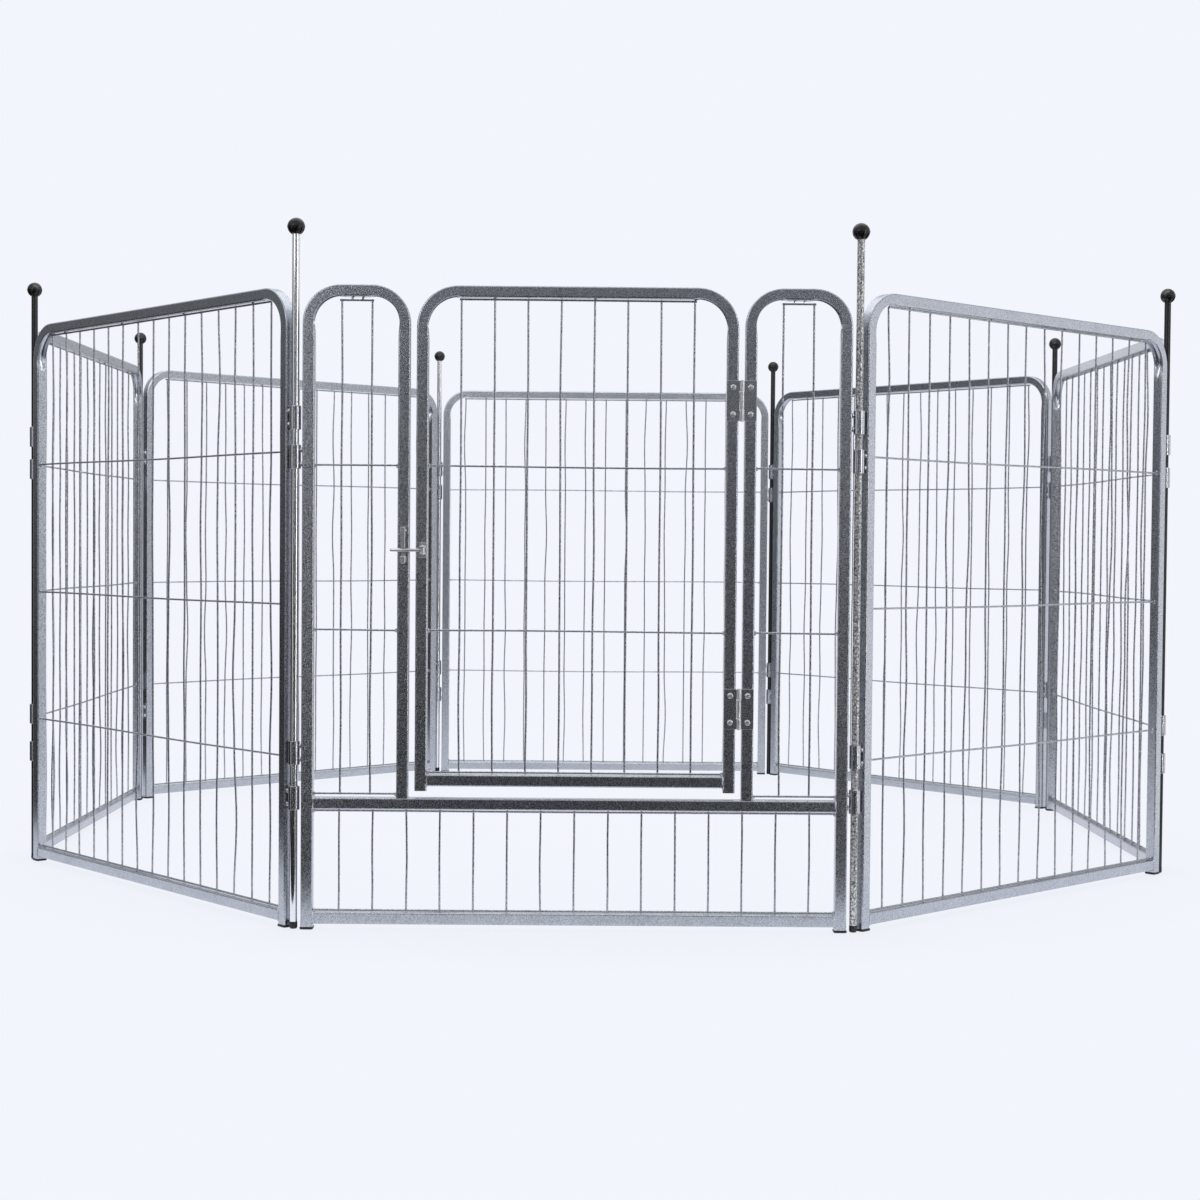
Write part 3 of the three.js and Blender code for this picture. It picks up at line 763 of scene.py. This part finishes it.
def material(name, dark, light, metallic, roughness, grain, bump, depth, blotch=0.12):
    """Mottled finish: grain is the size of the mottling in millimetres, light and dark its two
    colours, roughness its two limits, bump and depth (mm) its relief, and blotch how much of it
    varies over a much larger scale."""
    made = bpy.data.materials.new(name)
    made.use_nodes = True
    nodes, links = made.node_tree.nodes, made.node_tree.links
    shader = nodes["Principled BSDF"]
    shader.inputs["Metallic"].default_value = metallic
    coordinates = nodes.new("ShaderNodeTexCoord")

    def noise(size, detail, distortion=0.0):
        node = nodes.new("ShaderNodeTexNoise")
        node.inputs["Scale"].default_value = 1 / (size * MM)
        node.inputs["Detail"].default_value = detail
        node.inputs["Roughness"].default_value = 0.6
        node.inputs["Distortion"].default_value = distortion
        links.new(coordinates.outputs["Object"], node.inputs["Vector"])
        return node

    fine = noise(grain, 2.0, 0.4)
    broad = noise(grain * 28, 2.0)
    mix = nodes.new("ShaderNodeMath")
    mix.operation = "MULTIPLY_ADD"
    links.new(broad.outputs["Fac"], mix.inputs[0])
    mix.inputs[1].default_value = blotch
    links.new(fine.outputs["Fac"], mix.inputs[2])
    ramp = nodes.new("ShaderNodeValToRGB")
    ramp.color_ramp.elements[0].position = 0.36 + blotch / 2
    ramp.color_ramp.elements[0].color = (*dark, 1)
    ramp.color_ramp.elements[1].position = 0.66 + blotch / 2
    ramp.color_ramp.elements[1].color = (*light, 1)
    links.new(mix.outputs["Value"], ramp.inputs["Fac"])
    links.new(ramp.outputs["Color"], shader.inputs["Base Color"])
    gloss = nodes.new("ShaderNodeMapRange")
    gloss.inputs["From Min"].default_value = 0.3
    gloss.inputs["From Max"].default_value = 0.7
    gloss.inputs["To Min"].default_value, gloss.inputs["To Max"].default_value = roughness
    links.new(fine.outputs["Fac"], gloss.inputs["Value"])
    links.new(gloss.outputs["Result"], shader.inputs["Roughness"])
    relief = nodes.new("ShaderNodeBump")
    relief.inputs["Strength"].default_value = bump
    relief.inputs["Distance"].default_value = depth * MM
    links.new(fine.outputs["Fac"], relief.inputs["Height"])
    links.new(relief.outputs["Normal"], shader.inputs["Normal"])
    return made


LOOK = {
    "paint": material("hammered_paint", (0.36, 0.385, 0.43), (0.66, 0.69, 0.745), 1.0,
                      (0.22, 0.32), 1.3, 0.30, 0.22),
    # sleeves: the frame paint, smoother and less mottled; its lighter colour is a painted
    # highlight
    "sleeve": material("sleeve_paint_painted_highlight", (0.48, 0.50, 0.54), (0.66, 0.68, 0.72), 1.0,
                       (0.16, 0.26), 1.8, 0.18, 0.20),
    "wire": material("wire_paint", (0.24, 0.25, 0.28), (0.62, 0.64, 0.68), 1.0,
                     (0.20, 0.34), 1.6, 0.35, 0.25),
    "rod_silver": material("plated_rod", (0.80, 0.82, 0.85), (0.95, 0.96, 0.98), 1.0,
                           (0.07, 0.12), 2.0, 0.05, 0.06),
    "speckled_rod": material("speckled_rod", (0.07, 0.07, 0.075), (1.0, 1.0, 1.0), 0.30,
                            (0.12, 0.30), 2.2, 0.5, 0.30),
    "rod_black": material("black_rod_paint", (0.006, 0.0065, 0.008), (0.014, 0.015, 0.018), 0.0,
                          (0.24, 0.36), 1.6, 0.10, 0.10),
    # welds: painted like the frame; their lighter colour is a painted highlight
    "weld": material("weld_painted_highlight", (0.55, 0.56, 0.58), (0.95, 0.95, 0.97), 0.9,
                     (0.18, 0.34), 1.2, 0.4, 0.3),
    "zinc": material("zinc", (0.60, 0.61, 0.63), (0.97, 0.97, 0.99), 0.65,
                     (0.10, 0.22), 1.2, 0.25, 0.12),
    "plastic": material("black_plastic", (0.004, 0.004, 0.005), (0.010, 0.010, 0.012), 0.0,
                        (0.20, 0.34), 1.5, 0.12, 0.10),
}

gate_panel(LOOK)
for number in range(1, len(PANELS)):
    plain_panel(number, LOOK)
for number in range(len(CORNERS)):
    rod_pieces(number, LOOK)


# ---------------------------------------------------------------- studio

BACKGROUND = (0.896, 0.913, 0.982)
CEILING = (0.66, 0.67, 0.70)
FLOOR = {"radius": 1.25, "back": 0.14, "fade": (0.92, 1.12), "glow": 0.88}      # metres


def floor():
    """Round pale floor under the pen that fades into the colour of the background."""
    data = bpy.data.meshes.new("floor")
    rim = ring((0, FLOOR["back"], 0), FLOOR["radius"], "z", 96)
    data.from_pydata(rim, [], [tuple(range(len(rim)))])
    obj = bpy.data.objects.new("floor", data)
    bpy.context.scene.collection.objects.link(obj)
    made = bpy.data.materials.new("pale_floor")
    made.use_nodes = True
    nodes, links = made.node_tree.nodes, made.node_tree.links
    shader = nodes["Principled BSDF"]
    output = nodes["Material Output"]
    shader.inputs["Base Color"].default_value = (0.07, 0.07, 0.075, 1)
    shader.inputs["Roughness"].default_value = 0.75
    shader.inputs["Specular IOR Level"].default_value = 0.25
    shader.inputs["Emission Color"].default_value = (*BACKGROUND, 1)
    shader.inputs["Emission Strength"].default_value = FLOOR["glow"]
    glow = nodes.new("ShaderNodeEmission")
    glow.inputs["Color"].default_value = (*BACKGROUND, 1)
    coordinates = nodes.new("ShaderNodeTexCoord")
    length = nodes.new("ShaderNodeVectorMath")
    length.operation = "LENGTH"
    links.new(coordinates.outputs["Object"], length.inputs[0])
    fade = nodes.new("ShaderNodeMapRange")
    fade.interpolation_type = "SMOOTHSTEP"
    fade.inputs["From Min"].default_value, fade.inputs["From Max"].default_value = FLOOR["fade"]
    links.new(length.outputs["Value"], fade.inputs["Value"])
    mix = nodes.new("ShaderNodeMixShader")
    links.new(fade.outputs["Result"], mix.inputs["Fac"])
    links.new(shader.outputs["BSDF"], mix.inputs[1])
    links.new(glow.outputs["Emission"], mix.inputs[2])
    links.new(mix.outputs["Shader"], output.inputs["Surface"])
    data.materials.append(made)


# brightness of the room by compass heading, degrees anticlockwise from +X
ROOM = [(-180, 0.01), (-150, 0.02), (-60, 0.03), (-40, 0.25), (-15, 0.65), (5, 1.05),
        (40, 0.65), (70, 0.42), (95, 1.0), (118, 1.0), (138, 0.40), (150, 0.04), (180, 0.01)]


def studio_walls():
    """World: the plain background to the camera, and for light a room whose walls follow ROOM
    and blend upwards into a pale ceiling."""
    world = bpy.data.worlds.new("studio")
    bpy.context.scene.world = world
    world.use_nodes = True
    nodes, links = world.node_tree.nodes, world.node_tree.links
    nodes.clear()
    output = nodes.new("ShaderNodeOutputWorld")
    seen = nodes.new("ShaderNodeBackground")
    seen.inputs["Color"].default_value = (*BACKGROUND, 1)
    room = nodes.new("ShaderNodeBackground")
    room.inputs["Strength"].default_value = 1.0
    coordinates = nodes.new("ShaderNodeTexCoord")
    parts = nodes.new("ShaderNodeSeparateXYZ")
    links.new(coordinates.outputs["Generated"], parts.inputs[0])
    heading = nodes.new("ShaderNodeMath")
    heading.operation = "ARCTAN2"
    links.new(parts.outputs["Y"], heading.inputs[0])
    links.new(parts.outputs["X"], heading.inputs[1])
    share = nodes.new("ShaderNodeMapRange")
    share.inputs["From Min"].default_value = -math.pi
    share.inputs["From Max"].default_value = math.pi
    links.new(heading.outputs["Value"], share.inputs["Value"])
    ramp = nodes.new("ShaderNodeValToRGB")
    ramp.color_ramp.interpolation = "EASE"
    steps = ramp.color_ramp.elements
    while len(steps) > 1:
        steps.remove(steps[-1])
    for number, (degrees, level) in enumerate(ROOM):
        step = steps[0] if number == 0 else steps.new((degrees + 180) / 360)
        step.position = (degrees + 180) / 360
        step.color = (level, level, level * 1.03, 1)
    links.new(share.outputs["Result"], ramp.inputs["Fac"])
    rise = nodes.new("ShaderNodeMapRange")
    rise.interpolation_type = "SMOOTHSTEP"
    rise.inputs["From Min"].default_value = -0.10
    rise.inputs["From Max"].default_value = 0.65
    links.new(parts.outputs["Z"], rise.inputs["Value"])
    blend = nodes.new("ShaderNodeMix")
    blend.data_type = "RGBA"
    links.new(rise.outputs["Result"], blend.inputs["Factor"])
    links.new(ramp.outputs["Color"], blend.inputs[6])
    blend.inputs[7].default_value = (*CEILING, 1)
    links.new(blend.outputs[2], room.inputs["Color"])
    path = nodes.new("ShaderNodeLightPath")
    mix = nodes.new("ShaderNodeMixShader")
    links.new(path.outputs["Is Camera Ray"], mix.inputs["Fac"])
    links.new(room.outputs["Background"], mix.inputs[1])
    links.new(seen.outputs["Background"], mix.inputs[2])
    links.new(mix.outputs["Shader"], output.inputs["Surface"])


def softbox(name, place, target, size, power):
    """Area light at a place, turned to a target and hidden from the camera."""
    data = bpy.data.lights.new(name, "AREA")
    data.shape = "RECTANGLE"
    data.size, data.size_y = size
    data.energy = power
    obj = bpy.data.objects.new(name, data)
    obj.location = place
    aim = Vector(target) - Vector(place)
    obj.rotation_euler = aim.to_track_quat("-Z", "Y").to_euler()
    bpy.context.scene.collection.objects.link(obj)
    obj.visible_camera = False


# lens in millimetres, place in metres, turns in radians
CAMERA = {"lens": 58.95, "place": (-0.0144, -3.3326, 0.4906), "down": 0.02889, "yaw": 0.0074,
          "roll": 0.00841}


def camera():
    data = bpy.data.cameras.new("camera")
    data.sensor_width = 36.0
    data.lens = CAMERA["lens"]
    data.clip_end = 200.0
    obj = bpy.data.objects.new("camera", data)
    bpy.context.scene.collection.objects.link(obj)
    down, yaw, roll = CAMERA["down"], CAMERA["yaw"], CAMERA["roll"]
    forward = Vector((math.sin(yaw) * math.cos(down), math.cos(yaw) * math.cos(down),
                      -math.sin(down)))
    level = Vector((math.cos(yaw), -math.sin(yaw), 0))
    upward = level.cross(forward)
    right = level * math.cos(roll) + upward * math.sin(roll)
    up = upward * math.cos(roll) - level * math.sin(roll)
    turned = Matrix((right, up, -forward)).transposed().to_4x4()
    obj.matrix_world = Matrix.Translation(CAMERA["place"]) @ turned
    bpy.context.scene.camera = obj


# name, place, target and size in metres, watts
SOFTBOXES = (("overhead", (0.0, 0.2, 2.6), (0.0, 0.3, 0), (3.0, 2.6), 20),
             ("front_left", (-2.0, -3.2, 1.85), (-0.3, -0.85, 0.7), (1.3, 1.3), 9),
             ("left_narrow", (-0.98, -3.30, 0.80), (-0.33, -0.86, 0.4), (0.05, 2.0), 1.3),
             ("right_narrow", (0.97, -3.30, 0.55), (0.33, -0.86, 0.4), (0.05, 1.8), 0.9),
             ("inner_bar", (0.0, -0.55, 1.30), (0.0, 0.87, 0.70), (1.9, 0.25), 5.5),
             ("left_strip", (-2.7, -2.3, 0.8), (-0.3, -0.8, 0.5), (0.9, 2.0), 4),
             ("right_strip", (2.4, -2.6, 0.9), (0.2, -0.8, 0.5), (0.22, 2.2), 12))

floor()
studio_walls()
for box in SOFTBOXES:
    softbox(*box)
camera()
bpy.context.scene.view_settings.view_transform = "Standard"
bpy.context.scene.view_settings.look = "None"
